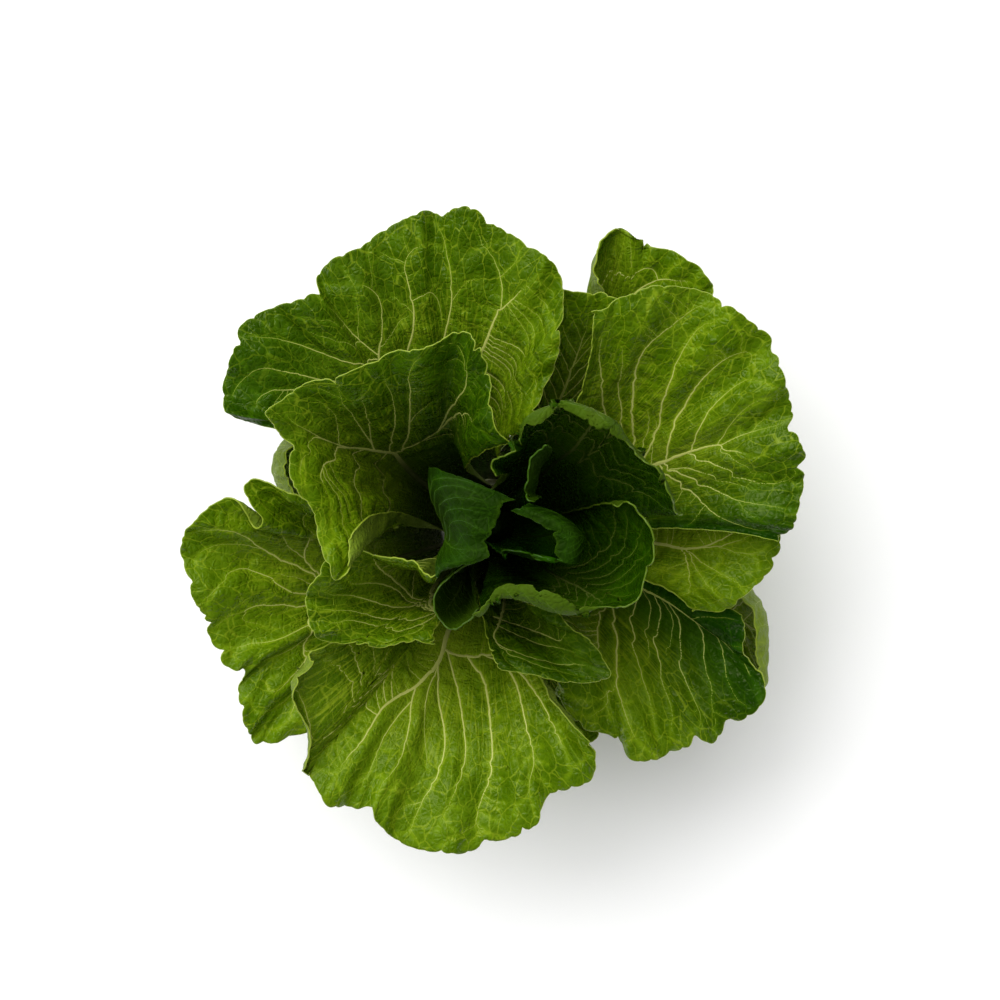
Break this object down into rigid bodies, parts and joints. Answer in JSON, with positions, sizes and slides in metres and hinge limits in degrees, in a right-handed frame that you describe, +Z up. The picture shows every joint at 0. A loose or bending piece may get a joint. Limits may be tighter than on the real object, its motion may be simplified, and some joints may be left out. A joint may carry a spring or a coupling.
{
  "type": "romaine lettuce head",
  "caption": "Fresh romaine lettuce head standing on its cut butt, with waved leaves open round a dark heart.",
  "frame": {"origin": "on the surface the head stands on, at the middle of the cut butt", "axes": "+Z up through the heart; +Y towards the back of the head, which is the top of the picture; +X to the right"},
  "size_m": [0.3086, 0.3236, 0.2243],
  "materials": {
    "leaf_blade": "waxy green leaf with pale veins",
    "heart_blade": "waxy deep green young leaf",
    "cut_stem": "moist cream cut flesh"
  },
  "bodies": {
    "root": {"stem": "cut_stem", "low_leaf_north": "leaf_blade", "low_leaf_east": "leaf_blade", "low_leaf_west": "leaf_blade", "low_leaf_south": "leaf_blade", "leaf_north": "leaf_blade", "leaf_west": "leaf_blade", "leaf_southeast": "leaf_blade", "leaf_northwest": "leaf_blade", "leaf_south": "leaf_blade", "leaf_east_under": "leaf_blade", "leaf_east": "leaf_blade", "leaf_southeast_upper": "leaf_blade", "leaf_northwest_upper": "leaf_blade", "leaf_southwest": "leaf_blade", "heart_leaf_northeast": "heart_blade", "heart_leaf_south": "heart_blade", "heart_leaf_west": "heart_blade", "heart_leaf_southeast": "heart_blade", "heart_leaf_north": "heart_blade", "heart_leaf_east": "heart_blade", "heart_bud": "heart_blade"}
  },
  "joints": []
}
